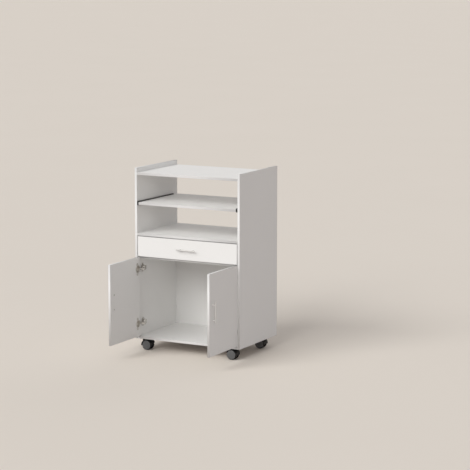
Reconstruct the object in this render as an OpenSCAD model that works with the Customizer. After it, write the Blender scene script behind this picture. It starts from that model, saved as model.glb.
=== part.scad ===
// Rolling microwave cart: boarded carcass with a lipped top, a pull-out shelf,
// one drawer, a two-door cabinet below and four twin-wheel casters.
// Millimetres. X to the right, Y to the back, Z up. The origin lies on the floor
// under the middle of the carcass. The doors are drawn standing open.

/* [Carcass] */
// Overall width across the outer faces of the side panels
body_w = 590; // [570:1:620]
// Depth of the side panels
body_d = 400; // [396:1:420]
// Height of the side panels' top edges above the floor
body_h = 920; // [905:1:960]
// How far the side panels stand above the top board
lip_h = 23; // [12:1:35]
// Thickness of the hardboard back
back_t = 3; // [2.5:0.1:3.1]

/* [Bays] */
// Underside of the pull-out shelf board above the floor
shelf_z = 736; // [728:1:744]
// Underside of the drawer deck above the floor
deck_z = 581; // [579:1:590]
// Length of the pull-out shelf board, front to back
shelf_d = 390; // [370:1:394]

/* [Drawer] */
// Height of the drawer front
front_h = 101; // [98:1:101]
// Depth of the drawer box behind its front
box_d = 278; // [262:1:290]
// Height of the drawer box sides
box_h = 82; // [76:1:84]

/* [Doors] */
// Angle at which both doors stand open
door_open = 90; // [80:0.5:100]
// Width of each door
door_w = 279; // [276:0.5:279.5]
// Height of the upper hinge's centre above the floor
hinge_z_hi = 414; // [400:1:420]
// Height of the lower hinge's centre above the floor
hinge_z_lo = 137; // [130:1:150]

/* [Handles] */
// Overall length of the handle bars
bar_len = 105; // [98:1:120]
// Spacing of the two handle posts
post_gap = 73; // [64:1:84]
// Height of the bar's axis above the face that it stands on
bar_off = 15; // [14:0.5:20]
// Diameter of the handle bars
bar_dia = 6; // [5:0.5:7]

/* [Casters] */
// Diameter of the caster wheels
wheel_dia = 50; // [48:0.5:50]
// Offset of the wheel axle from the swivel axis
trail = 20; // [17:0.5:20]

/* [Hidden] */
$fn = 48;
// slip of a bore round the piece that sits in it
e = 0.05;
board_t = 12;
base_z = 58;
half_w = body_w / 2;
in_x = half_w - board_t;
front_y = -body_d / 2;
back_y = body_d / 2;
top_z = body_h - lip_h - board_t;
floor_z = base_z + board_t;
cab_z = deck_z - 115;
cab_top = cab_z + board_t;
cab_front = front_y + 14;
// the back panel stands in grooves that run out at the foot of the side panels
back_in = back_y - 15;
back_groove = 6;
deck_back = back_in - 0.2;

// board joints: cam and dowel positions along Y
cam_y = [front_y + 50, back_y - 50];
dow_y = [front_y + 95, back_y - 95];
low_cam_y = [front_y + 75, back_y - 105];
low_dow_y = [front_y + 115, back_y - 145];
cam_in = 24;
cam_r = 6;
cam_h = 9;
bolt_r = 3;
neck_r = 2;
bolt_l = 9;
dowel_r = 3;
dowel_in = 16;
dowel_out = 8;
screw_r = 1.6;
screw_l = 9;
screw_head_r = 2.85;

// slides: u is the distance inwards from a side panel's inner face
slide_u = 9;
rail_wall = 1;
rail_half = 10;
rail_lip = 7.6;
arm_lip = 2.8;
arm_half = 5.6;
web_half = 8.5;
ball_r = 1.4;
ball_dz = 7.3;
shelf_x = in_x - slide_u;
shelf_rz = shelf_z + 7;
shelf_screw_z = shelf_z + board_t / 2;
draw_rz = cab_top + 14.5;
draw_screw_z = draw_rz + 4;
shelf_fix_y = [front_y + 30, -20, back_y - 70];
shelf_mov_y = [front_y + 24, -26, back_y - 76];
draw_fix_y = [front_y + 40, -40, 86];
draw_mov_y = [front_y + 34, -46, 70];

// drawer
dfront_z = cab_top - 1;
dbox_z = cab_top + 6;
dbox_x = in_x - slide_u;
dbox_back = front_y + board_t + box_d;
dgroove_z = dbox_z + 6;
dcam_z = [dbox_z + 34, dbox_z + 62];
dgrip_z = dfront_z + front_h / 2;

// doors
door_z = floor_z + 2.5;
door_h = dfront_z - 3.5 - door_z;
door_x1 = in_x - 2;
door_x0 = door_x1 - door_w;
face_y = front_y + board_t;
cup_r = 17.5;
cup_wall = 1.2;
cup_deep = 10.5;
cup_s = cup_r + 3;
cup_x = door_x1 - cup_s;
cup_screw = 24;
grip_s = door_w - 33;
grip_x = door_x1 - grip_s;
grip_z = base_z + 226;

// Each door turns about one upright line beside its hinge edge. In the hinge's section, u runs
// inwards from the side panel and v backwards from the front. The link swings on the arm's pin
// [pa_u, pa_v] so that its far end keeps near the cup's pin [pc_u, pc_v] of the closed door.
piv_u = 2.25;
piv_v = 0.75;
piv_x = in_x - piv_u;
piv_y = front_y + piv_v;
pin_lean = 33;
pin_reach = 32;
pin_short = 7;
pa_lean = pin_lean + door_open / 2;
pa_u = piv_u + pin_reach * sin(pa_lean);
pa_v = piv_v + pin_reach * cos(pa_lean);
pc_v = board_t - 0.5;
pc_u = piv_u + (pc_v - piv_v) * tan(pin_lean);
pc_rel = [pc_u - piv_u, pc_v - piv_v];
pc_open = [piv_u + pc_rel[0] * cos(door_open) + pc_rel[1] * sin(door_open),
    piv_v - pc_rel[0] * sin(door_open) + pc_rel[1] * cos(door_open)];
link_a_open = atan2(pc_open[1] - pa_v, pc_open[0] - pa_u);
link_l = norm([pc_u - pa_u, pc_v - pa_v]) - pin_short;
link_knee = [0.7 * link_l, 3];
pin_r = 1.25;
// the plate's middle, and the arm's straight end over it
plate_v = 47;
plate_y = front_y + plate_v;
arm_v = plate_v + 16;
arm_u = 14;
arm_wall = 1.4;
arm_screw_v = [plate_v - 5, plate_v + 6];
plate_fix = 16;
plate_fix_r = 2.5;

// casters
wheel_r = wheel_dia / 2;
king_x = in_x - 21;
king_y = [front_y + 30, back_y - 72];
king_r = 4;
axle_r = 3;
plate_half = 20;
plate_t = 2;
plate_screw = 15;
plate_screw_r = 1.8;
hood_half = 22.5;
hood_wall = 3;
hood_web = 4;

// Which sub-part to draw

// ---- helpers ----

module both() {
    children();
    mirror([1, 0, 0]) children();
}

// box from corner to corner
module bx(x0, x1, y0, y1, z0, z1) {
    translate([x0, y0, z0]) cube([x1 - x0, y1 - y0, z1 - z0]);
}

// box measured inwards from the right panel's inner face
module ub(u0, u1, y0, y1, z0, z1) {
    bx(in_x - u1, in_x - u0, y0, y1, z0, z1);
}

// cylinder along X from x0 to x1
module xc(x0, x1, y, z, r) {
    translate([x0, y, z]) rotate([0, 90, 0]) cylinder(h = x1 - x0, r = r);
}

// cone along X, radius ra at x0 and rb at x1
module xk(x0, x1, y, z, ra, rb) {
    translate([x0, y, z]) rotate([0, 90, 0]) cylinder(h = x1 - x0, r1 = ra, r2 = rb);
}

// cylinder along Y from y0 to y1
module yc(x, y0, y1, z, r) {
    translate([x, y0, z]) rotate([-90, 0, 0]) cylinder(h = y1 - y0, r = r);
}

// cylinder along Z from z0 to z1
module zc(x, y, z0, z1, r) {
    translate([x, y, z0]) cylinder(h = z1 - z0, r = r);
}

// places parts drawn for a closed right door where the open door stands
module opened() {
    translate([piv_x, piv_y, 0]) rotate([0, 0, door_open]) translate([-piv_x, -piv_y, 0]) children();
}

// places a section drawn in u, v (right side) into the plan
module uv() {
    translate([in_x, front_y, 0]) mirror([1, 0, 0]) children();
}

// ---- board joints ----

module joint_panel_bores(z0, cy, dy) {
    for (y = cy) xc(in_x - 1, in_x + bolt_l + 0.3, y, z0 + board_t / 2, bolt_r + e);
    for (y = dy) xc(in_x - 1, in_x + dowel_out + 0.3, y, z0 + board_t / 2, dowel_r + e);
}

module joint_board_bores(z0, cy, dy) {
    both() {
        for (y = cy) {
            xc(in_x - cam_in, in_x + 1, y, z0 + board_t / 2, bolt_r + 0.6);
            zc(in_x - cam_in, y, z0 - 1, z0 + cam_h + e, cam_r + e);
        }
        for (y = dy) xc(in_x - dowel_in - 0.3, in_x + 1, y, z0 + board_t / 2, dowel_r + e);
    }
}

module joint_cams(z0, cy) {
    for (y = cy) difference() {
        zc(in_x - cam_in, y, z0 + 0.2, z0 + cam_h, cam_r);
        xc(in_x - cam_in - 1.5, in_x, y, z0 + board_t / 2, bolt_r + 0.3);
        bx(in_x - cam_in - 3.6, in_x - cam_in + 3.6, y - 0.6, y + 0.6, z0 - 1, z0 + 1.6);
        bx(in_x - cam_in - 0.6, in_x - cam_in + 0.6, y - 3.6, y + 3.6, z0 - 1, z0 + 1.6);
    }
}

module joint_bolts(z0, cy) {
    for (y = cy) {
        xc(in_x - cam_in - 1, in_x - cam_in + 1.5, y, z0 + board_t / 2, bolt_r);
        xc(in_x - cam_in + 1, in_x + 0.5, y, z0 + board_t / 2, neck_r);
        xc(in_x, in_x + bolt_l, y, z0 + board_t / 2, bolt_r);
    }
}

module joint_dowels(z0, dy) {
    for (y = dy) xc(in_x - dowel_in, in_x + dowel_out, y, z0 + board_t / 2, dowel_r);
}

// ---- carcass ----

module side_panel() {
    difference() {
        bx(in_x, half_w, front_y, back_y, base_z, body_h);
        bx(in_x - 1, in_x + back_groove, back_in - 0.1, back_in + back_t + 0.1, base_z - 1, deck_z);
        joint_panel_bores(top_z, cam_y, dow_y);
        joint_panel_bores(deck_z, cam_y, dow_y);
        joint_panel_bores(cab_z, cam_y, dow_y);
        joint_panel_bores(base_z, low_cam_y, low_dow_y);
        for (y = shelf_fix_y) xc(in_x - 1, in_x + screw_l + 0.2, y, shelf_rz, screw_r + e);
        for (y = draw_fix_y) xc(in_x - 1, in_x + screw_l + 0.2, y, draw_rz, screw_r + e);
        for (z = [hinge_z_hi, hinge_z_lo]) for (s = [-plate_fix, plate_fix])
            xc(in_x - 1, in_x + screw_l + 0.2, plate_y, z + s, plate_fix_r + e);
    }
}

module left_side_panel() {
    color("white") mirror([1, 0, 0]) side_panel();
}

module right_side_panel() {
    color("white") side_panel();
}

module top_board() {
    color("white") difference() {
        bx(-in_x, in_x, front_y, back_y, top_z, top_z + board_t);
        joint_board_bores(top_z, cam_y, dow_y);
    }
}

module drawer_deck() {
    color("white") difference() {
        bx(-in_x, in_x, front_y, back_y, deck_z, deck_z + board_t);
        joint_board_bores(deck_z, cam_y, dow_y);
    }
}

module cabinet_deck() {
    color("white") difference() {
        bx(-in_x, in_x, cab_front, deck_back, cab_z, cab_top);
        joint_board_bores(cab_z, cam_y, dow_y);
    }
}

module bottom_board() {
    color("white") difference() {
        bx(-in_x, in_x, front_y, deck_back, base_z, floor_z);
        joint_board_bores(base_z, low_cam_y, low_dow_y);
        both() for (ky = king_y) plate_holes() zc(king_x, ky, base_z - 1, base_z + 9.2, plate_screw_r + e);
    }
}

module back_panel() {
    color("white") bx(0.5 - in_x - back_groove, in_x + back_groove - 0.5, back_in, back_in + back_t,
        base_z, deck_z - 0.1);
}

module cam_locks() {
    color("silver") both() {
        joint_cams(top_z, cam_y);
        joint_cams(deck_z, cam_y);
        joint_cams(cab_z, cam_y);
        joint_cams(base_z, low_cam_y);
    }
}

module cam_bolts() {
    color("silver") both() {
        joint_bolts(top_z, cam_y);
        joint_bolts(deck_z, cam_y);
        joint_bolts(cab_z, cam_y);
        joint_bolts(base_z, low_cam_y);
    }
}

module dowels() {
    color("tan") both() {
        joint_dowels(top_z, dow_y);
        joint_dowels(deck_z, dow_y);
        joint_dowels(cab_z, dow_y);
        joint_dowels(base_z, low_dow_y);
    }
}

// ---- ball-bearing slides ----

module fixed_rail(y0, y1, zc0, ys) {
    difference() {
        union() {
            ub(0, rail_wall, y0, y1, zc0 - rail_half, zc0 + rail_half);
            ub(0.5, rail_lip, y0, y1, zc0 + rail_half - rail_wall, zc0 + rail_half);
            ub(0.5, rail_lip, y0, y1, zc0 - rail_half, zc0 - rail_half + rail_wall);
        }
        for (y = ys) xk(in_x - 1.1, in_x + 0.1, y, zc0, screw_head_r + 0.17, screw_r - 0.02);
    }
}

module moving_rail(y0, y1, zc0, ys, zs) {
    difference() {
        union() {
            ub(slide_u - rail_wall, slide_u, y0, y1, zc0 - web_half, zc0 + web_half);
            ub(arm_lip, slide_u - 0.5, y0, y1, zc0 + arm_half - rail_wall, zc0 + arm_half);
            ub(arm_lip, slide_u - 0.5, y0, y1, zc0 - arm_half, zc0 - arm_half + rail_wall);
        }
        for (y = ys)
            xk(in_x - slide_u - 0.1, in_x - slide_u + 1.1, y, zs, screw_r - 0.02, screw_head_r + 0.17);
    }
}

module ball_cage(y0, y1, zc0, n) {
    ub(1.5, 2.1, y0, y1, zc0 - 7.65, zc0 + 7.65);
    ub(1.6, 7, y0, y1, zc0 + 6.95, zc0 + 7.65);
    ub(1.6, 7, y0, y1, zc0 - 7.65, zc0 - 6.95);
    for (i = [0 : n - 1]) for (s = [-ball_dz, ball_dz])
        translate([in_x - 5, y0 + 6 + i * (y1 - y0 - 12) / (n - 1), zc0 + s]) sphere(r = ball_r);
}

module panel_screw(y, z) {
    xk(in_x - 1, in_x, y, z, screw_head_r, screw_r + e);
    xc(in_x - 0.1, in_x + screw_l, y, z, screw_r);
}

module board_screw(y, z) {
    xk(in_x - slide_u, in_x - slide_u + 1, y, z, screw_r + e, screw_head_r);
    xc(in_x - slide_u - screw_l, in_x - slide_u + 0.1, y, z, screw_r);
}

module shelf_fixed_rails() {
    color("dimgray") both() fixed_rail(front_y + 2, back_y - 48, shelf_rz, shelf_fix_y);
}

module shelf_moving_rails() {
    color("dimgray") both() {
        moving_rail(front_y, back_y - 50, shelf_rz, shelf_mov_y, shelf_screw_z);
        ub(3.2, 8.4, front_y, front_y + 5, shelf_rz - 5, shelf_rz + 5);
    }
}

module shelf_ball_cages() {
    color("silver") both() ball_cage(-80, 30, shelf_rz, 7);
}

module drawer_fixed_rails() {
    color("dimgray") both() fixed_rail(cab_front, 104, draw_rz, draw_fix_y);
}

module drawer_moving_rails() {
    color("dimgray") both() moving_rail(cab_front, dbox_back - 2, draw_rz, draw_mov_y, draw_screw_z);
}

module drawer_ball_cages() {
    color("silver") both() ball_cage(-89, -9, draw_rz, 6);
}

module carcass_rail_screws() {
    color("silver") both() {
        for (y = shelf_fix_y) panel_screw(y, shelf_rz);
        for (y = draw_fix_y) panel_screw(y, draw_rz);
    }
}

module shelf_rail_screws() {
    color("silver") both() for (y = shelf_mov_y) board_screw(y, shelf_screw_z);
}

module drawer_rail_screws() {
    color("silver") both() for (y = draw_mov_y) board_screw(y, draw_screw_z);
}

module shelf_board() {
    color("white") difference() {
        bx(-shelf_x, shelf_x, front_y, front_y + shelf_d, shelf_z, shelf_z + board_t);
        both() for (y = shelf_mov_y) xc(shelf_x - screw_l - 0.2, in_x, y, shelf_screw_z, screw_r + e);
    }
}

// ---- drawer ----

module drawer_side() {
    difference() {
        bx(dbox_x - board_t, dbox_x, face_y, dbox_back, dbox_z, dbox_z + box_h);
        bx(dbox_x - board_t - 1, dbox_x - 6, face_y - 1, dbox_back + 1, dgroove_z, dgroove_z + 3.2);
        for (y = draw_mov_y) xc(dbox_x - screw_l - 0.2, in_x, y, draw_screw_z, screw_r + e);
        for (z = dcam_z) {
            xc(dbox_x - board_t - 1, dbox_x - board_t + cam_h + e, face_y + cam_in, z, cam_r + e);
            yc(dbox_x - 6, face_y - 1, face_y + cam_in, z, 3.6);
            xk(dbox_x - 3, dbox_x + 0.1, dbox_back - 6, z, 1.75, 4);
            xc(dbox_x - board_t - 1, dbox_x, dbox_back - 6, z, 1.75 + e);
        }
    }
}

module drawer_left_side() {
    color("white") mirror([1, 0, 0]) drawer_side();
}

module drawer_right_side() {
    color("white") drawer_side();
}

module drawer_back() {
    color("white") difference() {
        bx(board_t - dbox_x, dbox_x - board_t, dbox_back - board_t, dbox_back,
            dgroove_z + 3.2, dbox_z + box_h);
        both() for (z = dcam_z)
            xc(dbox_x - board_t - 19, dbox_x, dbox_back - 6, z, 1.75 + e);
    }
}

module drawer_bottom() {
    color("white") bx(6.5 - dbox_x, dbox_x - 6.5, face_y - 5.5, dbox_back, dgroove_z + 0.1, dgroove_z + 3.1);
}

module drawer_front() {
    color("white") difference() {
        bx(3 - in_x, in_x - 3, front_y, face_y, dfront_z, dfront_z + front_h);
        bx(6.4 - dbox_x, dbox_x - 6.4, face_y - 6, face_y + 1, dgroove_z, dgroove_z + 3.2);
        both() {
            for (z = dcam_z) yc(dbox_x - 6, face_y - 8.3, face_y + 1, z, 3 + e);
            yc(post_gap / 2, front_y - 1, face_y + 1, dgrip_z, 2.2);
        }
    }
}

module drawer_fasteners() {
    color("silver") both() for (z = dcam_z) {
        difference() {
            xc(dbox_x - board_t + 0.2, dbox_x - board_t + cam_h, face_y + cam_in, z, cam_r);
            yc(dbox_x - 6, face_y, face_y + cam_in + 1.5, z, 3.3);
            bx(dbox_x - 14, dbox_x - 10.4, face_y + cam_in - 0.6, face_y + cam_in + 0.6, z - 3.6, z + 3.6);
            bx(dbox_x - 14, dbox_x - 10.4, face_y + cam_in - 3.6, face_y + cam_in + 3.6, z - 0.6, z + 0.6);
        }
        yc(dbox_x - 6, face_y - 8, face_y, z, 3);
        yc(dbox_x - 6, face_y - 0.5, face_y + cam_in - 1, z, 2);
        yc(dbox_x - 6, face_y + cam_in - 1.5, face_y + cam_in + 1, z, 3);
        xk(dbox_x - 2.8, dbox_x - 0.2, dbox_back - 6, z, 1.72, 3.6);
        xc(dbox_x - board_t - 18, dbox_x - 2.7, dbox_back - 6, z, 1.75);
    }
}

// ---- handles: the face lies in the plane y = 0, the bar stands off towards -y ----

module bar_handle() {
    difference() {
        union() {
            xc(-bar_len / 2, bar_len / 2, -bar_off, 0, bar_dia / 2);
            for (s = [-1, 1]) yc(s * post_gap / 2, -bar_off, 0, 0, 3.2);
        }
        for (s = [-1, 1]) yc(s * post_gap / 2, -bar_off + 3, 1, 0, 1.9 + e);
    }
}

module bar_screws() {
    for (s = [-1, 1]) {
        yc(s * post_gap / 2, -bar_off + 4, board_t + 0.5, 0, 1.9);
        yc(s * post_gap / 2, board_t, board_t + 2.2, 0, 3.8);
    }
}

module on_drawer() {
    translate([0, front_y, dgrip_z]) children();
}

module on_door() {
    opened() translate([grip_x, front_y, grip_z]) rotate([0, 90, 0]) children();
}

module drawer_handle() {
    color("silver") on_drawer() bar_handle();
}

module drawer_handle_screws() {
    color("silver") on_drawer() bar_screws();
}

module right_door_handle() {
    color("silver") on_door() bar_handle();
}

module left_door_handle() {
    color("silver") mirror([1, 0, 0]) on_door() bar_handle();
}

module right_handle_screws() {
    color("silver") on_door() bar_screws();
}

module left_handle_screws() {
    color("silver") mirror([1, 0, 0]) on_door() bar_screws();
}

// ---- doors ----

module door_board() {
    difference() {
        bx(door_x0, door_x1, front_y, face_y, door_z, door_z + door_h);
        for (z = [hinge_z_hi, hinge_z_lo]) {
            yc(cup_x, face_y - cup_deep - 0.1, face_y + 1, z, cup_r + e);
            for (s = [-cup_screw, cup_screw]) yc(cup_x - 5.5, face_y - 9.2, face_y + 1, z + s, 1.8 + e);
        }
        for (s = [-1, 1]) yc(grip_x, front_y - 1, face_y + 1, grip_z + s * post_gap / 2, 2.2);
    }
}

module right_door() {
    color("white") opened() door_board();
}

module left_door() {
    color("white") mirror([1, 0, 0]) opened() door_board();
}

module hinge_cup(z) {
    difference() {
        union() {
            yc(cup_x, face_y - cup_deep, face_y + cup_wall, z, cup_r);
            yc(cup_x, face_y, face_y + cup_wall, z, cup_r + 2.5);
            bx(cup_x - 12.5, cup_x + 1.5, face_y, face_y + cup_wall, z - 25, z + 25);
            for (s = [-25, 25]) yc(cup_x - 5.5, face_y, face_y + cup_wall, z + s, 7);
        }
        yc(cup_x, face_y - cup_deep + cup_wall, face_y + 2, z, cup_r - cup_wall);
        for (s = [-cup_screw, cup_screw]) yc(cup_x - 5.5, face_y - 1, face_y + 2, z + s, 1.8 + e);
    }
}

module cup_pair() {
    hinge_cup(hinge_z_hi);
    hinge_cup(hinge_z_lo);
}

module cup_screws() {
    for (z = [hinge_z_hi, hinge_z_lo]) for (s = [-cup_screw, cup_screw]) {
        yc(cup_x - 5.5, face_y - 9, face_y + cup_wall + 0.1, z + s, 1.8);
        difference() {
            yc(cup_x - 5.5, face_y + cup_wall, face_y + 2.6, z + s, 3.6);
            bx(cup_x - 7.5, cup_x - 3.5, face_y + 1.9, face_y + 3, z + s - 0.4, z + s + 0.4);
            bx(cup_x - 5.9, cup_x - 5.1, face_y + 1.9, face_y + 3, z + s - 2, z + s + 2);
        }
    }
}

module right_hinge_cups() {
    color("silver") opened() cup_pair();
}

module left_hinge_cups() {
    color("silver") mirror([1, 0, 0]) opened() cup_pair();
}

module right_cup_screws() {
    color("silver") opened() cup_screws();
}

module left_cup_screws() {
    color("silver") mirror([1, 0, 0]) opened() cup_screws();
}

// ---- hinge arms, plates and links ----

// The arm is a channel open towards the side panel: a narrow nose that holds the link's pin, and
// a wide straight end over the plate. Profile and body are solids, channel and room hollow them.
module arm_profile() {
    polygon([[pa_u + 2.4, pa_v], [pa_u + 2.4, 17.5], [pa_u - 1, 23.5], [arm_u, plate_v - 10],
        [arm_u, arm_v], [5, arm_v], [5, plate_v - 8.5], [9, plate_v - 16], [24, 20],
        [pa_u - 4.5, 16.5], [pa_u - 2.4, pa_v]]);
}

module arm_channel() {
    polygon([[pa_u + 1, 12], [pa_u + 1, 17], [pa_u - 2, 22.6], [arm_u - arm_wall, plate_v - 10.7],
        [arm_u - arm_wall, arm_v + 2], [2, arm_v + 2], [2, plate_v - 13], [20, 12]]);
}

module arm_body() {
    polygon([[24.5, 28.6], [arm_u, plate_v - 10.4], [arm_u, arm_v], [5, arm_v], [5, plate_v - 8.5],
        [9, plate_v - 16], [18, 24.6]]);
}

module arm_room() {
    polygon([[22.2, 28.6], [arm_u - arm_wall, plate_v - 11.2], [arm_u - arm_wall, arm_v + 2],
        [2, arm_v + 2], [2, plate_v - 13], [15, 25.5]]);
}

module hinge_arm(z) {
    uv() translate([0, 0, z]) {
        difference() {
            union() {
                linear_extrude(height = 13, center = true) arm_profile();
                linear_extrude(height = 20, center = true) arm_body();
                zc(pa_u, pa_v, -6.5, 6.5, 2.4);
            }
            linear_extrude(height = 10, center = true) arm_channel();
            linear_extrude(height = 17.2, center = true) arm_room();
            bx(pa_u - 8, pa_u + 8, -4, 12.1, -5, 5);
            for (v = arm_screw_v) xc(6, 20, v, 0, 2.2);
        }
        zc(pa_u, pa_v, -6.2, 6.2, pin_r);
    }
}

module hinge_arms() {
    color("silver") both() {
        hinge_arm(hinge_z_hi);
        hinge_arm(hinge_z_lo);
    }
}

module hinge_plate(z) {
    difference() {
        union() {
            ub(0, 2, plate_y - 12, plate_y + 16, z - 11, z + 11);
            ub(0, 2, plate_y - 7, plate_y + 7, z - 22, z + 22);
            ub(1, 12.4, plate_y - 9, plate_y + 14, z - 8.4, z + 8.4);
        }
        for (s = [-plate_fix, plate_fix]) xc(in_x - 3, in_x + 1, plate_y, z + s, plate_fix_r + e);
        for (v = arm_screw_v) xc(in_x - arm_u, in_x - 4, front_y + v, z, 1.9 + e);
    }
}

module hinge_plates() {
    color("silver") both() {
        hinge_plate(hinge_z_hi);
        hinge_plate(hinge_z_lo);
    }
}

module hinge_screw_set(z) {
    for (s = [-plate_fix, plate_fix]) {
        xc(in_x - 2.5, in_x + 9, plate_y, z + s, plate_fix_r);
        difference() {
            xc(in_x - 4, in_x - 2, plate_y, z + s, 4.2);
            bx(in_x - 5, in_x - 3.2, plate_y - 2.2, plate_y + 2.2, z + s - 0.5, z + s + 0.5);
            bx(in_x - 5, in_x - 3.2, plate_y - 0.5, plate_y + 0.5, z + s - 2.2, z + s + 2.2);
        }
    }
    for (y = [for (v = arm_screw_v) front_y + v]) {
        xc(in_x - arm_u - 0.5, in_x - 4.4, y, z, 1.9);
        difference() {
            xc(in_x - arm_u - 1.6, in_x - arm_u, y, z, 3.6);
            bx(in_x - 17, in_x - 15, y - 2, y + 2, z - 0.4, z + 0.4);
            bx(in_x - 17, in_x - 15, y - 0.4, y + 0.4, z - 2, z + 2);
        }
    }
}

module hinge_screws() {
    color("silver") both() {
        hinge_screw_set(hinge_z_hi);
        hinge_screw_set(hinge_z_lo);
    }
}

// flat bar 1.8 thick and 8 wide from a to b in the plan
module strap(a, b) {
    translate([a[0], a[1], -4]) rotate([0, 0, atan2(b[1] - a[1], b[0] - a[0])])
        translate([0, -0.9, 0]) cube([norm(b - a), 1.8, 8]);
}

module link(z) {
    uv() translate([pa_u, pa_v, z]) rotate([0, 0, link_a_open]) {
        difference() {
            union() {
                zc(0, 0, -4.6, 4.6, 2.6);
                strap([0, 0], link_knee);
                zc(link_knee[0], link_knee[1], -4.2, 4.2, 1.1);
                strap(link_knee, [link_l, 0]);
                zc(link_l, 0, -4.2, 4.2, 1.1);
            }
            zc(0, 0, -6, 6, pin_r + e);
        }
    }
}

module right_upper_link() {
    color("silver") link(hinge_z_hi);
}

module right_lower_link() {
    color("silver") link(hinge_z_lo);
}

module left_upper_link() {
    color("silver") mirror([1, 0, 0]) link(hinge_z_hi);
}

module left_lower_link() {
    color("silver") mirror([1, 0, 0]) link(hinge_z_lo);
}

// ---- casters: drawn about the swivel axis, the axle lies towards -x ----

module plate_holes() {
    for (a = [-plate_screw, plate_screw]) for (b = [-plate_screw, plate_screw])
        translate([a, b, 0]) children();
}

module caster_plate() {
    difference() {
        bx(-plate_half, plate_half, -plate_half, plate_half, base_z - plate_t, base_z);
        plate_holes() zc(0, 0, base_z - 3, base_z + 1, plate_screw_r + e);
    }
    zc(0, 0, 44, base_z - 1, king_r);
}

module caster_screw_set() {
    plate_holes() {
        zc(0, 0, base_z - 2.5, base_z + 9, plate_screw_r);
        difference() {
            zc(0, 0, base_z - plate_t - 1.7, base_z - plate_t, 3.4);
            bx(-1.9, 1.9, -0.4, 0.4, base_z - 5, base_z - 3);
            bx(-0.4, 0.4, -1.9, 1.9, base_z - 5, base_z - 3);
        }
    }
}

module hood() {
    difference() {
        union() {
            difference() {
                union() {
                    yc(-trail, -hood_half, hood_half, wheel_r, wheel_r + hood_wall);
                    zc(0, 0, 36, base_z - plate_t - 0.3, 10);
                }
                yc(-trail, hood_web, hood_half + 1, wheel_r, wheel_r + 1);
                yc(-trail, -hood_half - 1, -hood_web, wheel_r, wheel_r + 1);
                bx(-trail - 40, -trail + 40, -30, 30, -10, wheel_r - 3);
                bx(-trail - 40, -trail - 12, -30, 30, -10, wheel_r + 9);
            }
            yc(-trail, -hood_web, hood_web, wheel_r, 8);
        }
        yc(-trail, -hood_web - 1, hood_web + 1, wheel_r, axle_r + e);
        zc(0, 0, 43.6, base_z, king_r + e);
    }
}

// one wheel disc from y = 4.5 outwards, with a dished face
module wheel_disc() {
    difference() {
        union() {
            yc(0, 6, 20.5, 0, wheel_r);
            translate([0, 4.5, 0]) rotate([-90, 0, 0]) cylinder(h = 1.5, r1 = wheel_r - 1, r2 = wheel_r);
            translate([0, 20.5, 0]) rotate([-90, 0, 0]) cylinder(h = 1.7, r1 = wheel_r, r2 = wheel_r - 1.4);
        }
        translate([0, 21, 0]) rotate([-90, 0, 0]) cylinder(h = 1.3, r1 = wheel_r - 3, r2 = wheel_r - 2.4);
        yc(0, 4, 19, 0, axle_r + 0.02);
    }
    difference() {
        translate([0, 20.9, 0]) rotate([-90, 0, 0]) cylinder(h = 1.5, r1 = wheel_r - 5, r2 = 6);
        yc(0, 21.5, 24, 0, 4);
    }
}

module wheel_pair() {
    translate([-trail, 0, wheel_r]) {
        wheel_disc();
        mirror([0, 1, 0]) wheel_disc();
    }
}

module axle() {
    yc(-trail, -18.6, 18.6, wheel_r, axle_r);
}

module at_front() {
    translate([king_x, king_y[0], 0]) children();
}

module at_rear() {
    translate([king_x, king_y[1], 0]) children();
}

module caster_plates() {
    color("silver") both() {
        at_front() caster_plate();
        at_rear() caster_plate();
    }
}

module caster_screws() {
    color("silver") both() {
        at_front() caster_screw_set();
        at_rear() caster_screw_set();
    }
}

module front_left_hood() {
    color("dimgray") mirror([1, 0, 0]) at_front() hood();
}

module front_right_hood() {
    color("dimgray") at_front() hood();
}

module rear_left_hood() {
    color("dimgray") mirror([1, 0, 0]) at_rear() hood();
}

module rear_right_hood() {
    color("dimgray") at_rear() hood();
}

module front_left_wheels() {
    color("gray") mirror([1, 0, 0]) at_front() wheel_pair();
}

module front_right_wheels() {
    color("gray") at_front() wheel_pair();
}

module rear_left_wheels() {
    color("gray") mirror([1, 0, 0]) at_rear() wheel_pair();
}

module rear_right_wheels() {
    color("gray") at_rear() wheel_pair();
}

module front_left_axle() {
    color("silver") mirror([1, 0, 0]) at_front() axle();
}

module front_right_axle() {
    color("silver") at_front() axle();
}

module rear_left_axle() {
    color("silver") mirror([1, 0, 0]) at_rear() axle();
}

module rear_right_axle() {
    color("silver") at_rear() axle();
}

left_side_panel();
right_side_panel();
top_board();
drawer_deck();
cabinet_deck();
bottom_board();
back_panel();
cam_locks();
cam_bolts();
dowels();
carcass_rail_screws();
shelf_board();
shelf_fixed_rails();
shelf_moving_rails();
shelf_ball_cages();
shelf_rail_screws();
drawer_front();
drawer_left_side();
drawer_right_side();
drawer_back();
drawer_bottom();
drawer_fasteners();
drawer_fixed_rails();
drawer_moving_rails();
drawer_ball_cages();
drawer_rail_screws();
drawer_handle();
drawer_handle_screws();
left_door();
right_door();
left_door_handle();
right_door_handle();
left_handle_screws();
right_handle_screws();
left_hinge_cups();
right_hinge_cups();
left_cup_screws();
right_cup_screws();
hinge_arms();
hinge_plates();
hinge_screws();
left_upper_link();
left_lower_link();
right_upper_link();
right_lower_link();
caster_plates();
caster_screws();
front_left_hood();
front_right_hood();
rear_left_hood();
rear_right_hood();
front_left_wheels();
front_right_wheels();
rear_left_wheels();
rear_right_wheels();
front_left_axle();
front_right_axle();
rear_left_axle();
rear_right_axle();
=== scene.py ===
"""Rolling microwave cart: board finishes, edge bands, handles, wheels, floor, light and camera."""

import math

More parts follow.
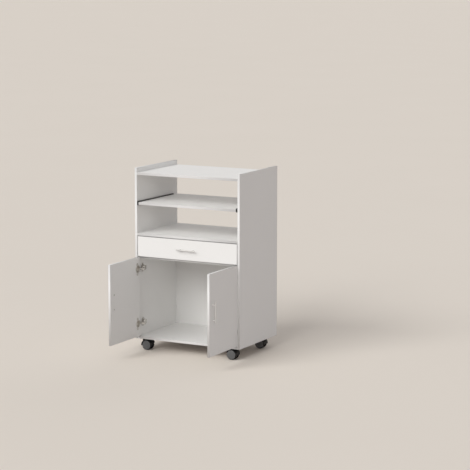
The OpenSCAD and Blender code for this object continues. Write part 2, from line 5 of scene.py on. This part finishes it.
import bmesh
import bpy
import numpy as np
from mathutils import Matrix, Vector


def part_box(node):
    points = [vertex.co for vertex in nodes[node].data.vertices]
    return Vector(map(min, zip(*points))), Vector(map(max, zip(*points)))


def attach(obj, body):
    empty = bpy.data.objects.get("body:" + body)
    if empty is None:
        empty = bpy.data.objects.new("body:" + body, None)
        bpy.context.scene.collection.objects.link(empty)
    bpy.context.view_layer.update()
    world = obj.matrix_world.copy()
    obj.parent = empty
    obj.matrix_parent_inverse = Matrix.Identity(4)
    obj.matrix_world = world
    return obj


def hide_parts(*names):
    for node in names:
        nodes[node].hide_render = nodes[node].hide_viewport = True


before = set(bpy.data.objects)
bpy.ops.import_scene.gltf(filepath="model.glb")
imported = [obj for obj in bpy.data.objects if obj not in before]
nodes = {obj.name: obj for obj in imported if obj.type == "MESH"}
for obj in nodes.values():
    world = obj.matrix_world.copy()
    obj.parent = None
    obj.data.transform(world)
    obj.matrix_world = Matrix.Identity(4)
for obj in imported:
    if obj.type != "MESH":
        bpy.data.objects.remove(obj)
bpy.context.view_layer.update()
MM = 0.001
X, Y, Z = 0, 1, 2

# ---------------------------------------------------------------- camera

PHOTO_WIDTH = 470
FOCAL_LENGTH = 1826.1  # in pixels of the photo
SENSOR_WIDTH = 36
CAMERA_PLACE = (4.3914, -7.8984, 1.9660)
CAMERA_DOWN = 8.742  # degrees below level
CAMERA_TURN = 28.166  # degrees round from straight in front
camera = bpy.data.objects.new("photo_camera", bpy.data.cameras.new("photo_camera"))
bpy.context.scene.collection.objects.link(camera)
camera.location = CAMERA_PLACE
camera.rotation_euler = (math.radians(90 - CAMERA_DOWN), 0, math.radians(CAMERA_TURN))
camera.data.sensor_width = SENSOR_WIDTH
camera.data.lens = FOCAL_LENGTH / PHOTO_WIDTH * SENSOR_WIDTH
camera.data.clip_end = 1000
bpy.context.scene.camera = camera


# ---------------------------------------------------------------- shader tools


class Shade:
    """A value inside a material: wraps a socket, and arithmetic on it adds Math nodes."""

    def __init__(self, finish, socket):
        self.finish = finish
        self.socket = socket

    def math(self, operation, other=0.0):
        return self.finish.node("ShaderNodeMath", {"operation": operation}, {0: self, 1: other})

    def __add__(self, other):
        return self.math("ADD", other)

    def __mul__(self, other):
        return self.math("MULTIPLY", other)

    def __gt__(self, other):
        return self.math("GREATER_THAN", other)

    def __abs__(self):
        return self.math("ABSOLUTE")

    __radd__ = __add__
    __rmul__ = __mul__


class Finish:
    """One material or world. node() makes every node; the helpers below it name common ones."""

    def __init__(self, name, owner=None):
        self.owner = owner or bpy.data.materials.new(name)
        self.owner.use_nodes = True
        self.tree = self.owner.node_tree
        self.tree.nodes.clear()

    def node(self, kind, settings=None, inputs=None, output=0):
        """Adds a node: settings first, then the values or links of its sockets. Gives the named
        output as a Shade, or nothing where the node is an end of the tree."""
        made = self.tree.nodes.new(kind)
        for key, value in (settings or {}).items():
            setattr(made, key, value)
        for key, value in (inputs or {}).items():
            if isinstance(value, Shade):
                self.tree.links.new(value.socket, made.inputs[key])
            else:
                made.inputs[key].default_value = value
        return Shade(self, made.outputs[output]) if made.outputs else None

    def mix(self, mask, first, second):
        """Colour first where mask is 0, second where it is 1."""
        colours = [(*c, 1) if isinstance(c, tuple) else c for c in (first, second)]
        sockets = {0: mask, 6: colours[0], 7: colours[1]}
        return self.node("ShaderNodeMix", {"data_type": "RGBA"}, sockets, 2)

    def noise(self, scale, detail=2.0, stretch=None):
        """Cloudy value 0 to 1 with scale features per metre, stretched by a factor per axis."""
        vector = self.node("ShaderNodeTexCoord", output="Object")
        if stretch:
            vector = self.node("ShaderNodeMapping", None, {"Vector": vector, "Scale": stretch})
        return self.node("ShaderNodeTexNoise", None, {"Vector": vector, "Scale": scale, "Detail": detail})

    def facing(self, axis):
        """1 where the surface faces along an axis of the object, 0 on the sides."""
        normal = self.node("ShaderNodeTexCoord", output="Normal")
        along = self.node("ShaderNodeSeparateXYZ", None, {0: normal}, axis)
        return abs(along) > 0.6

    def seen(self):
        """1 for the rays of the camera, of reflections and through glass, 0 for light bounces."""
        kinds = ("Is Camera Ray", "Is Glossy Ray", "Is Transmission Ray")
        camera_ray, glossy, glass = (self.node("ShaderNodeLightPath", output=kind) for kind in kinds)
        clamped = {"operation": "ADD", "use_clamp": True}
        return self.node("ShaderNodeMath", clamped, {0: camera_ray + glossy, 1: glass})

    def relief(self, height, depth, soft=0.0):
        """Bump of the given depth in metres, over edges eased by a radius of soft metres."""
        sockets = {"Height": height, "Distance": depth, "Strength": 1.0}
        if soft:
            sockets["Normal"] = self.node("ShaderNodeBevel", {"samples": 4}, {"Radius": soft})
        return self.node("ShaderNodeBump", None, sockets)

    def done(self, **sockets):
        """Closes the material with a Principled shader; underscores in names stand for spaces."""
        named = {key.replace("_", " "): value for key, value in sockets.items()}
        for key, value in named.items():
            if isinstance(value, tuple) and len(value) == 3:
                named[key] = (*value, 1)
        return self.close(self.node("ShaderNodeBsdfPrincipled", None, named), "ShaderNodeOutputMaterial")

    def close(self, shader, kind):
        """Ends the tree in an output node and gives back its material or world."""
        self.node(kind, None, {"Surface": shader})
        return self.owner


# ---------------------------------------------------------------- finishes


def melamine(name, thin):
    """White foil on chipboard: pearl grain on the two faces along thin, smoother foil on edges."""
    f = Finish(name)
    face = f.facing(thin)
    cloud = f.noise(5.0, 3.0)
    pearl = f.noise(1100.0)
    handled = f.noise(14.0, 4.0)
    tint = f.mix(cloud, (0.825, 0.818, 0.803), (0.862, 0.857, 0.845))
    colour = f.mix(face * 0.5 + 0.5 * pearl, (0.87, 0.866, 0.855), tint)
    rough = 0.52 + 0.10 * handled + 0.07 * face * pearl
    normal = f.relief(pearl * face + 0.3 * cloud, 0.03 * MM, 0.7 * MM)
    return f.done(Base_Color=colour, Roughness=rough, Normal=normal, IOR=1.4)


def edge_band():
    """Thin white plastic band with faint draw lines."""
    f = Finish("edge_band")
    lines = f.noise(60.0, 3.0, (1.0, 1.0, 12.0))
    cloud = f.noise(9.0)
    colour = f.mix(cloud, (0.735, 0.731, 0.721), (0.765, 0.762, 0.754))
    normal = f.relief(lines, 0.01 * MM)
    return f.done(Base_Color=colour, Roughness=0.34 + 0.1 * lines, Normal=normal, IOR=1.42)


def hardboard():
    """White lacquered hardboard: slightly greyer, with a soft fibre relief."""
    f = Finish("hardboard")
    fibre = f.noise(420.0, 4.0, (1.0, 1.0, 0.45))
    cloud = f.noise(3.0, 4.0)
    colour = f.mix(cloud, (0.79, 0.783, 0.765), (0.83, 0.824, 0.81))
    normal = f.relief(fibre, 0.05 * MM, 0.4 * MM)
    return f.done(Base_Color=colour, Roughness=0.42 + 0.14 * fibre, Normal=normal)


def beech():
    """Bare dowel wood: long grain streaks with pores."""
    f = Finish("beech")
    grain = f.noise(300.0, 5.0, (0.06, 1.0, 1.0))
    colour = f.mix(grain, (0.42, 0.27, 0.14), (0.66, 0.48, 0.29))
    return f.done(Base_Color=colour, Roughness=0.55 + 0.2 * grain, Normal=f.relief(grain, 0.1 * MM))


def black_rail():
    """Electro-coated black slide steel: near black, slightly orange-peeled, a little grease."""
    f = Finish("black_rail")
    peel = f.noise(700.0)
    grease = f.noise(22.0, 4.0, (1.0, 0.3, 1.0))
    colour = f.mix(grease, (0.010, 0.010, 0.011), (0.024, 0.023, 0.022))
    normal = f.relief(peel, 0.03 * MM, 0.3 * MM)
    return f.done(Base_Color=colour, Roughness=0.26 + 0.22 * grease, Normal=normal, Metallic=0.0, IOR=1.55)


def zinc():
    """Zinc-plated screws, cams and plates: cool bright steel with cloudy passivation."""
    f = Finish("zinc")
    cloud = f.noise(180.0, 4.0)
    fine = f.noise(1600.0)
    colour = f.mix(cloud, (0.50, 0.50, 0.49), (0.71, 0.70, 0.66))
    normal = f.relief(fine, 0.02 * MM, 0.2 * MM)
    return f.done(Base_Color=colour, Roughness=0.28 + 0.2 * cloud, Normal=normal, Metallic=1.0)


def hinge_steel():
    """Nickel-plated pressed hinge steel: warm grey with a cloudy tone, and a roughness that drifts along
    fine drawn lines.
    """
    f = Finish("hinge_steel")
    cloud = f.noise(90.0, 3.0)
    drawn = f.noise(500.0, 3.0, (0.15, 1.0, 1.0))
    colour = f.mix(cloud, (0.56, 0.545, 0.515), (0.70, 0.685, 0.655))
    normal = f.relief(drawn, 0.03 * MM, 0.4 * MM)
    return f.done(Base_Color=colour, Roughness=0.34 + 0.16 * drawn, Normal=normal, Metallic=0.85)


def satin_bar(name, along):
    """Satin nickel bar with hair-fine brushing along the bar's length axis."""
    f = Finish(name)
    squeeze = {"X": (0.03, 1.0, 1.0), "Z": (1.0, 1.0, 0.03)}[along]
    hair = f.noise(2600.0, 3.0, squeeze)
    cloud = f.noise(40.0)
    colour = f.mix(0.6 * hair + 0.4 * cloud, (0.56, 0.56, 0.55), (0.74, 0.74, 0.73))
    normal = f.relief(hair, 0.02 * MM)
    return f.done(Base_Color=colour, Roughness=0.42 + 0.16 * hair, Normal=normal, Metallic=0.8)


def moulded(name, dark, light, gloss, shine=0.5, grain=900.0, depth=0.06 * MM):
    """Moulded plastic: spark-eroded grain, a little tone drift and rubbed high spots."""
    f = Finish(name)
    spark = f.noise(grain, 3.0)
    drift = f.noise(35.0, 3.0)
    colour = f.mix(drift * 0.7 + spark * 0.3, dark, light)
    normal = f.relief(spark, depth, 0.4 * MM)
    rough = gloss + 0.18 * spark
    return f.done(Base_Color=colour, Roughness=rough, Normal=normal, IOR=1.46, Specular_IOR_Level=shine)


FOIL = {axis: melamine("foil_" + axis.lower(), axis) for axis in "XYZ"}
BAND = edge_band()
BACK = hardboard()
RAIL = black_rail()
ZINC = zinc()
HINGE = hinge_steel()
BAR_X = satin_bar("satin_bar_x", "X")
BAR_Z = satin_bar("satin_bar_z", "Z")
HOOD = moulded("hood_plastic", (0.004, 0.004, 0.0045), (0.011, 0.011, 0.012), 0.40, 0.25)
TREAD = moulded("tread_plastic", (0.005, 0.005, 0.005), (0.014, 0.0135, 0.013), 0.55, 0.2, 600.0, 0.1 * MM)
DISC = moulded("disc_plastic", (0.095, 0.097, 0.099), (0.14, 0.142, 0.144), 0.34)

CORNERS = ("front_left", "front_right", "rear_left", "rear_right")
LINKS = [f"{side}_{level}_link" for side in ("left", "right") for level in ("upper", "lower")]
DRESS = [
    (FOIL["X"], ["left_side_panel", "right_side_panel", "left_door", "right_door"]),
    (FOIL["X"], ["drawer_left_side", "drawer_right_side"]),
    (FOIL["Y"], ["drawer_front", "drawer_back"]),
    (FOIL["Z"], ["top_board", "drawer_deck", "cabinet_deck", "bottom_board", "shelf_board"]),
    (BACK, ["back_panel", "drawer_bottom"]),
    (beech(), ["dowels"]),
    (RAIL, ["shelf_fixed_rails", "shelf_moving_rails", "drawer_fixed_rails", "drawer_moving_rails"]),
    (ZINC, ["cam_locks", "cam_bolts", "carcass_rail_screws", "shelf_ball_cages", "shelf_rail_screws"]),
    (ZINC, ["drawer_fasteners", "drawer_ball_cages", "drawer_rail_screws", "drawer_handle_screws"]),
    (ZINC, ["left_handle_screws", "right_handle_screws", "left_cup_screws", "right_cup_screws"]),
    (ZINC, ["hinge_screws", "caster_plates", "caster_screws"] + [c + "_axle" for c in CORNERS]),
    (HINGE, ["left_hinge_cups", "right_hinge_cups", "hinge_arms", "hinge_plates"] + LINKS),
    (BAR_X, ["drawer_handle"]),
    (BAR_Z, ["left_door_handle", "right_door_handle"]),
    (HOOD, [c + "_hood" for c in CORNERS]),
    (DISC, [c + "_wheels" for c in CORNERS]),
]
for material, names in DRESS:
    for name in names:
        nodes[name].data.materials.clear()
        nodes[name].data.materials.append(material)

# ---------------------------------------------------------------- shapes


def solid(name, grids, material):
    """Makes one mesh from grids of points (rows, columns, 3): quads between neighbours, the last
    row joined to the first, then doubles merged so that poles and seams close."""
    points, faces, start = [], [], 0
    for grid in grids:
        rows, columns = grid.shape[:2]
        index = start + np.arange(rows * columns).reshape(rows, columns)
        after = np.roll(index, -1, axis=0)
        quads = np.stack([index[:, :-1], after[:, :-1], after[:, 1:], index[:, 1:]], -1)
        points.append(grid.reshape(-1, 3))
        faces.append(quads.reshape(-1, 4))
        start += rows * columns
    mesh = bpy.data.meshes.new(name)
    mesh.from_pydata(np.concatenate(points).tolist(), [], np.concatenate(faces).tolist())
    work = bmesh.new()
    work.from_mesh(mesh)
    bmesh.ops.remove_doubles(work, verts=work.verts, dist=0.001 * MM)
    bmesh.ops.recalc_face_normals(work, faces=work.faces)
    work.to_mesh(mesh)
    work.free()
    mesh.polygons.foreach_set("use_smooth", [True] * len(mesh.polygons))
    mesh.materials.append(material)
    made = bpy.data.objects.new(name, mesh)
    bpy.context.scene.collection.objects.link(made)
    return made


def turned(radius, along, steps):
    """Body of revolution about the local X axis: the point at height along lies at radius."""
    angle = np.linspace(0, 2 * np.pi, steps, endpoint=False)[:, None]
    return np.stack([along + 0 * angle, radius * np.cos(angle), radius * np.sin(angle)], -1)


def finished(piece, body, slot, *stands_for):
    """Rides a piece on its body and hides the nodes that it stands for. The slot argument is not used."""
    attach(piece, body)
    if stands_for:
        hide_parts(*stands_for)


# ---------------------------------------------------------------- edge bands

BAND_PROUD = 0.35 * MM
BAND_SUNK = 0.4 * MM
BAND_POINTS = 25
BAND_FLATNESS = 14
FOUR_EDGES_OF_X = [(Y, -1), (Y, 1), (Z, -1), (Z, 1)]
FOUR_EDGES_OF_Y = [(X, -1), (X, 1), (Z, -1), (Z, 1)]
FRONT_AND_BACK = [(Y, -1), (Y, 1)]
FRONT_EDGE = [(Y, -1)]
UPPER_EDGE = [(Z, 1)]


def strip(start, end, out, across, half):
    """Band from start to end: its height out of the edge is BAND_PROUD * (1 - |w|^BAND_FLATNESS),
    w being -1 to 1 across the edge, over a flat underside sunk into the board."""
    w = np.sin(np.linspace(-np.pi / 2, np.pi / 2, BAND_POINTS))
    rise = BAND_PROUD * (1 - np.abs(w) ** BAND_FLATNESS)
    top = across * (w * half)[:, None] + out * rise[:, None]
    under = across * (w[::-1] * half)[:, None] - out * BAND_SUNK
    loop = np.concatenate([top, under])
    middle = np.zeros_like(loop)
    return np.stack([start + middle, start + loop, end + loop, end + middle], 1)


def board_strips(board, thin, edges):
    """Strips on the edges of a board that is thin along one axis. Edges are pairs (axis, -1 or 1)."""
    low, high = (np.array(corner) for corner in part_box(board))
    middle = (low + high) / 2
    grids = []
    for axis, side in edges:
        run = X + Y + Z - axis - thin
        out = np.zeros(3)
        out[axis] = side
        across = np.zeros(3)
        across[thin] = 1
        start, end = middle.copy(), middle.copy()
        start[axis] = end[axis] = high[axis] if side > 0 else low[axis]
        start[run], end[run] = low[run], high[run]
        grids.append(strip(start, end, out, across, (high[thin] - low[thin]) / 2))
    return grids


carcass_strips = []
for panel in ("left_side_panel", "right_side_panel"):
    carcass_strips += board_strips(panel, X, FOUR_EDGES_OF_X)
for board in ("top_board", "drawer_deck", "bottom_board"):
    carcass_strips += board_strips(board, Z, FRONT_AND_BACK)
carcass_strips += board_strips("cabinet_deck", Z, FRONT_EDGE)
finished(solid("carcass_edge_bands", carcass_strips, BAND), "carcass", "white_board")

shelf_strips = board_strips("shelf_board", Z, FRONT_AND_BACK)
finished(solid("shelf_edge_bands", shelf_strips, BAND), "shelf", "white_board")

drawer_strips = board_strips("drawer_front", Y, FOUR_EDGES_OF_Y)
for side_board in ("drawer_left_side", "drawer_right_side"):
    drawer_strips += board_strips(side_board, X, UPPER_EDGE)
drawer_strips += board_strips("drawer_back", Y, UPPER_EDGE)
finished(solid("drawer_edge_bands", drawer_strips, BAND), "drawer", "white_board")

for door in ("left_door", "right_door"):
    door_strips = board_strips(door, X, FOUR_EDGES_OF_X)
    finished(solid(door + "_edge_band", door_strips, BAND), door, "white_board")

# ---------------------------------------------------------------- handles

# all in mm
BAR_RADIUS = 3
BAR_EASE = 1.2
BAR_STAND = 15
POST_GAP = 73
POST_FOOT_RADIUS = 2.9
POST_TOP_RADIUS = 2.7
POST_HEIGHT = BAR_STAND - BAR_RADIUS / 2
FLARE = 0.9
FLARE_HEIGHT = 3
BAR_STEPS, POST_STEPS = 40, 32  # round their axes


def bar_and_posts(length):
    """Bar of a length along the first axis, BAR_STAND above the face along the second axis. Its
    radius over the last BAR_EASE is BAR_RADIUS - BAR_EASE * (1 - sqrt(1 - q * q)), q being 0 to 1.
    The feet of its two posts flare by FLARE * (1 - d / FLARE_HEIGHT) ^ 2 at height d."""
    q = np.linspace(0, 1, 9)
    ease = BAR_RADIUS - BAR_EASE * (1 - np.sqrt(1 - q * q))
    end = length / 2 - BAR_EASE * (1 - q)
    along = np.concatenate([[-length / 2], -end[::-1], end, [length / 2]])
    radius = np.concatenate([[0], ease[::-1], ease, [0]])
    bar = turned(radius, along, BAR_STEPS) + np.array([0, BAR_STAND, 0])
    d = np.linspace(0, FLARE_HEIGHT, 8)
    height = np.concatenate([[0], d, [POST_HEIGHT, POST_HEIGHT]])
    foot = POST_FOOT_RADIUS + FLARE * (1 - d / FLARE_HEIGHT) ** 2
    post_radius = np.concatenate([[0], foot, [POST_TOP_RADIUS, 0]])
    post = turned(post_radius, height, POST_STEPS)[..., [Y, X, Z]]
    posts = [post + np.array([side * POST_GAP / 2, 0, 0]) for side in (-1, 1)]
    return [grid * MM for grid in (bar, *posts)]


def handle(name, material, body, stands_for, along, out):
    """Handle in place of a node: its bar lies along one direction and stands out along another."""
    along, out = np.array(along), np.array(out)
    low, high = (np.array(corner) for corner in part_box(stands_for))
    foot = np.where(out == 0, (low + high) / 2, np.where(out > 0, low, high))
    basis = np.stack([along, out, np.cross(along, out)])
    grids = bar_and_posts((high - low) @ along / MM)
    piece = solid(name, [grid @ basis + foot for grid in grids], material)
    finished(piece, body, "satin_nickel", stands_for)


handle("drawer_bar_handle", BAR_X, "drawer", "drawer_handle", (1, 0, 0), (0, -1, 0))
handle("left_door_bar_handle", BAR_Z, "left_door", "left_door_handle", (0, 0, 1), (-1, 0, 0))
handle("right_door_bar_handle", BAR_Z, "right_door", "right_door_handle", (0, 0, 1), (1, 0, 0))

# ---------------------------------------------------------------- wheels

# all in mm; places are distances from the middle of the pair
WHEEL_RADIUS = 25
SHOULDER = 1.7
SHOULDER_FLATNESS = 8
RIM_RADIUS = 20
TREAD_INNER, TREAD_OUTER = 5.6, 19.4
DISC_RADIUS = 23.2
DISC_EDGE = 19.7
DISC_DOME = 2.5
HUB_PROFILE = [(DISC_RADIUS, 6.2), (8, 6.0), (6, 4.6), (0, 4.6)]  # radius and place
WHEEL_STEPS = 96


def wheel_parts():
    """Outer half of a wheel pair about the first axis: a tread whose radius is
    WHEEL_RADIUS - SHOULDER * |w|^SHOULDER_FLATNESS, w being -1 to 1 across it, and a disc whose
    face domes out by DISC_DOME * (1 - (r / DISC_RADIUS)^3), with a hub on its inner side."""
    w = np.linspace(-1, 1, 33)
    crown = WHEEL_RADIUS - SHOULDER * np.abs(w) ** SHOULDER_FLATNESS
    width = (TREAD_INNER + TREAD_OUTER) / 2 + (TREAD_OUTER - TREAD_INNER) / 2 * w
    tread_radius = np.concatenate([[RIM_RADIUS], crown, [RIM_RADIUS]])
    tread_place = np.concatenate([[TREAD_INNER], width, [TREAD_OUTER]])
    r = np.linspace(0, DISC_RADIUS, 24)
    dome = DISC_EDGE + DISC_DOME * (1 - (r / DISC_RADIUS) ** 3)
    hub_radius, hub_place = np.transpose(HUB_PROFILE)
    disc_radius = np.concatenate([r, hub_radius])
    disc_place = np.concatenate([dome, hub_place])
    tread = turned(tread_radius, tread_place, WHEEL_STEPS)
    disc = turned(disc_radius, disc_place, WHEEL_STEPS)
    return tread, disc


wheel_tread, wheel_disc = wheel_parts()
for corner in CORNERS:
    axle_middle = np.mean(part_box(corner + "_wheels"), axis=0)
    for part, grid, material in (("treads", wheel_tread, TREAD), ("discs", wheel_disc, DISC)):
        wheel = grid[..., [Y, X, Z]] * MM
        both = [wheel * np.array([1, side, 1]) + axle_middle for side in (-1, 1)]
        piece = solid(f"{corner}_{part}", both, material)
        finished(piece, corner + "_wheel_pair", "grey_plastic", corner + "_wheels")

# ---------------------------------------------------------------- floor, light


def floor_finish():
    """Plain pale floor. The camera and reflections see it lighter than the bounce it gives back."""
    f = Finish("pale_floor")
    drift = f.noise(0.8)
    pale = f.mix(drift, (0.80, 0.74, 0.668), (0.815, 0.755, 0.685))
    colour = f.mix(f.seen(), (0.565, 0.51, 0.475), pale)
    return f.done(Base_Color=colour, Roughness=0.9, Specular_IOR_Level=0.1)


FLOOR_HALF = 400
mesh = bpy.data.meshes.new("floor")
floor_corners = [(x * FLOOR_HALF, y * FLOOR_HALF, 0) for x, y in ((-1, -1), (1, -1), (1, 1), (-1, 1))]
mesh.from_pydata(floor_corners, [], [(0, 1, 2, 3)])
mesh.materials.append(floor_finish())
floor = bpy.data.objects.new("floor", mesh)
bpy.context.scene.collection.objects.link(floor)


def sun(name, towards, strength, softness, colour):
    """A sun that stands in the direction towards, softness degrees wide."""
    lamp = bpy.data.lights.new(name, "SUN")
    lamp.energy = strength
    lamp.angle = math.radians(softness)
    lamp.color = colour
    holder = bpy.data.objects.new(name, lamp)
    bpy.context.scene.collection.objects.link(holder)
    x, y, z = towards
    holder.rotation_euler = (math.atan2(math.hypot(x, y), z), 0, math.atan2(y, x) + math.pi / 2)


NEUTRAL = (1.0, 1.0, 1.0)
WARM = (1.0, 1.0, 0.985)
FAINTLY_WARM = (1.0, 1.0, 0.99)
LAMPS = [
    ("high_window", (-0.28, -0.50, 0.45), 1.04, 28, WARM),
    ("front_window", (0.0, -0.60, 0.33), 1.00, 28, WARM),
    ("right_window", (0.60, -0.80, 0.25), 0.25, 40, FAINTLY_WARM),
    ("ceiling", (0.0, -0.15, 1.0), 0.12, 60, NEUTRAL),
    ("back_fill", (-0.05, 0.80, 0.30), 0.30, 50, NEUTRAL),
]
for lamp in LAMPS:
    sun(*lamp)


ROOM_LIGHT = 0.39


def room():
    """Even soft room light. The camera, reflections and glass see a plain warm wall instead."""
    f = Finish("room", bpy.data.worlds.new("room"))
    light = f.node("ShaderNodeBackground", None, {"Color": (1.0, 0.985, 1.0, 1), "Strength": ROOM_LIGHT})
    wall = f.node("ShaderNodeBackground", None, {"Color": (0.70, 0.645, 0.585, 1), "Strength": 1.0})
    mixed = f.node("ShaderNodeMixShader", None, {0: f.seen(), 1: light, 2: wall})
    return f.close(mixed, "ShaderNodeOutputWorld")


bpy.context.scene.world = room()

bpy.context.scene.view_settings.view_transform = "Standard"
